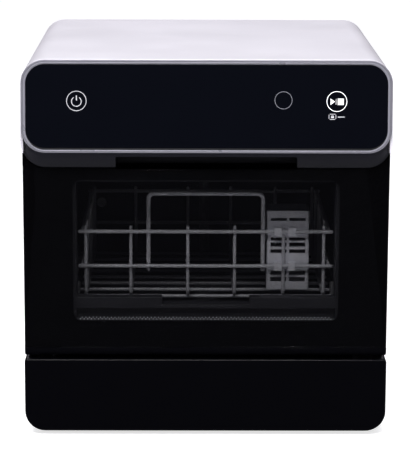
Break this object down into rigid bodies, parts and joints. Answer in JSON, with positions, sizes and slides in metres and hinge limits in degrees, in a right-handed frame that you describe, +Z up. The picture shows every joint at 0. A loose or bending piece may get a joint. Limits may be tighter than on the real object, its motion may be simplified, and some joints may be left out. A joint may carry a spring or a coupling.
{
  "type": "countertop dishwasher",
  "caption": "Compact countertop dishwasher with a leaning glass touch panel over a drop-down glass door, a wire dish rack with a hoop handle and a hung cutlery basket.",
  "frame": {"origin": "under the middle of the machine, on the surface it stands on", "axes": "+Z up, the door faces -Y, +X to the right of a person who faces the door"},
  "size_m": [0.42, 0.435, 0.442],
  "materials": {
    "white_enamel": "semi-gloss white enamel on sheet steel",
    "satin_silver": "satin silver ring with polished edges",
    "black_glass": "glossy black",
    "gloss_black": "smooth gloss black moulding",
    "soft_black": "fine-grained black moulding",
    "clear_glass": "clear tempered glass, slightly grey",
    "black_print": "black ceramic print",
    "rim_grey": "dark grey moulding",
    "tub_grey": "dark grey moulding",
    "rack_nylon": "grey nylon-coated wire",
    "basket_grey": "grey moulding",
    "part_grey": "mid-grey moulding",
    "rubber_black": "matt black rubber",
    "steel": "brushed stainless steel",
    "board_green": "solder-mask green",
    "light_plastic": "light grey moulding",
    "white_plastic": "off-white moulding"
  },
  "bodies": {
    "cabinet": {"outer_shell": "white_enamel", "rear_panel": "white_enamel", "base_pan": "soft_black", "feet": "rubber_black", "plinth_panel": "gloss_black", "panel_housing": "gloss_black", "panel_bezel": "satin_silver", "control_glass": "black_glass", "control_board": "board_green", "touch_pads": "rubber_black", "power_board": "board_green", "tub": "tub_grey", "tub_flange": "tub_grey", "tub_gasket": "rubber_black", "rack_channels": "part_grey", "door_catch": "soft_black", "hinge_brackets": "steel", "sump": "part_grey", "filter_plate": "steel", "arm_post": "part_grey", "spray_duct": "part_grey", "wash_pump": "part_grey", "drain_pump": "soft_black", "inlet_valve": "white_plastic", "fill_tube": "white_plastic", "drain_tube": "soft_black", "drain_spigot": "soft_black", "cord_gland": "soft_black", "cabinet_screws": "steel"},
    "door": {"door_glass": "clear_glass", "glass_mask": "black_print", "door_frame": "gloss_black", "window_rim": "rim_grey", "inner_pane": "clear_glass", "door_liner": "tub_grey", "door_hook": "soft_black", "liner_screws": "steel", "detergent_cup": "light_plastic"},
    "dose_lid": {"detergent_lid": "part_grey"},
    "rack": {"rack_floor": "rack_nylon", "rack_front_fence": "rack_nylon", "rack_back_fence": "rack_nylon", "rack_side_fences": "rack_nylon", "rack_handle": "rack_nylon", "rack_glides": "light_plastic"},
    "basket": {"cutlery_basket": "basket_grey"},
    "lower_arm": {"lower_spray_arm": "part_grey"},
    "upper_arm": {"upper_spray_arm": "part_grey"},
    "filter": {"filter_cup": "part_grey"}
  },
  "joints": [
    {"name": "door_hinge", "type": "hinge", "parent": "cabinet", "child": "door", "pos_m": [0, -0.181, 0.1104], "axis": [1, 0, 0], "range_deg": [0, 90]},
    {"name": "dose_lid_hinge", "type": "hinge", "parent": "door", "child": "dose_lid", "pos_m": [-0.0416, -0.1599, 0.129], "axis": [0, 0, 1], "range_deg": [0, 95]},
    {"name": "rack_slide", "type": "slide", "parent": "cabinet", "child": "rack", "axis": [0, -1, 0], "range_m": [0, 0.118]},
    {"name": "basket_lift", "type": "slide", "parent": "rack", "child": "basket", "axis": [0, 0, 1], "range_m": [0, 0.03]},
    {"name": "lower_arm_spin", "type": "hinge", "parent": "cabinet", "child": "lower_arm", "pos_m": [0, -0.008, 0.138], "axis": [0, 0, 1], "continuous": true},
    {"name": "upper_arm_spin", "type": "hinge", "parent": "cabinet", "child": "upper_arm", "pos_m": [0, -0.008, 0.363], "axis": [0, 0, 1], "continuous": true},
    {"name": "filter_twist", "type": "hinge", "parent": "cabinet", "child": "filter", "pos_m": [0, -0.085, 0.116], "axis": [0, 0, 1], "range_deg": [0, 90]}
  ],
  "couplings": [
    {"joint": "rack_slide", "follows": "door_hinge", "m_per_rad": 0.075}
  ]
}
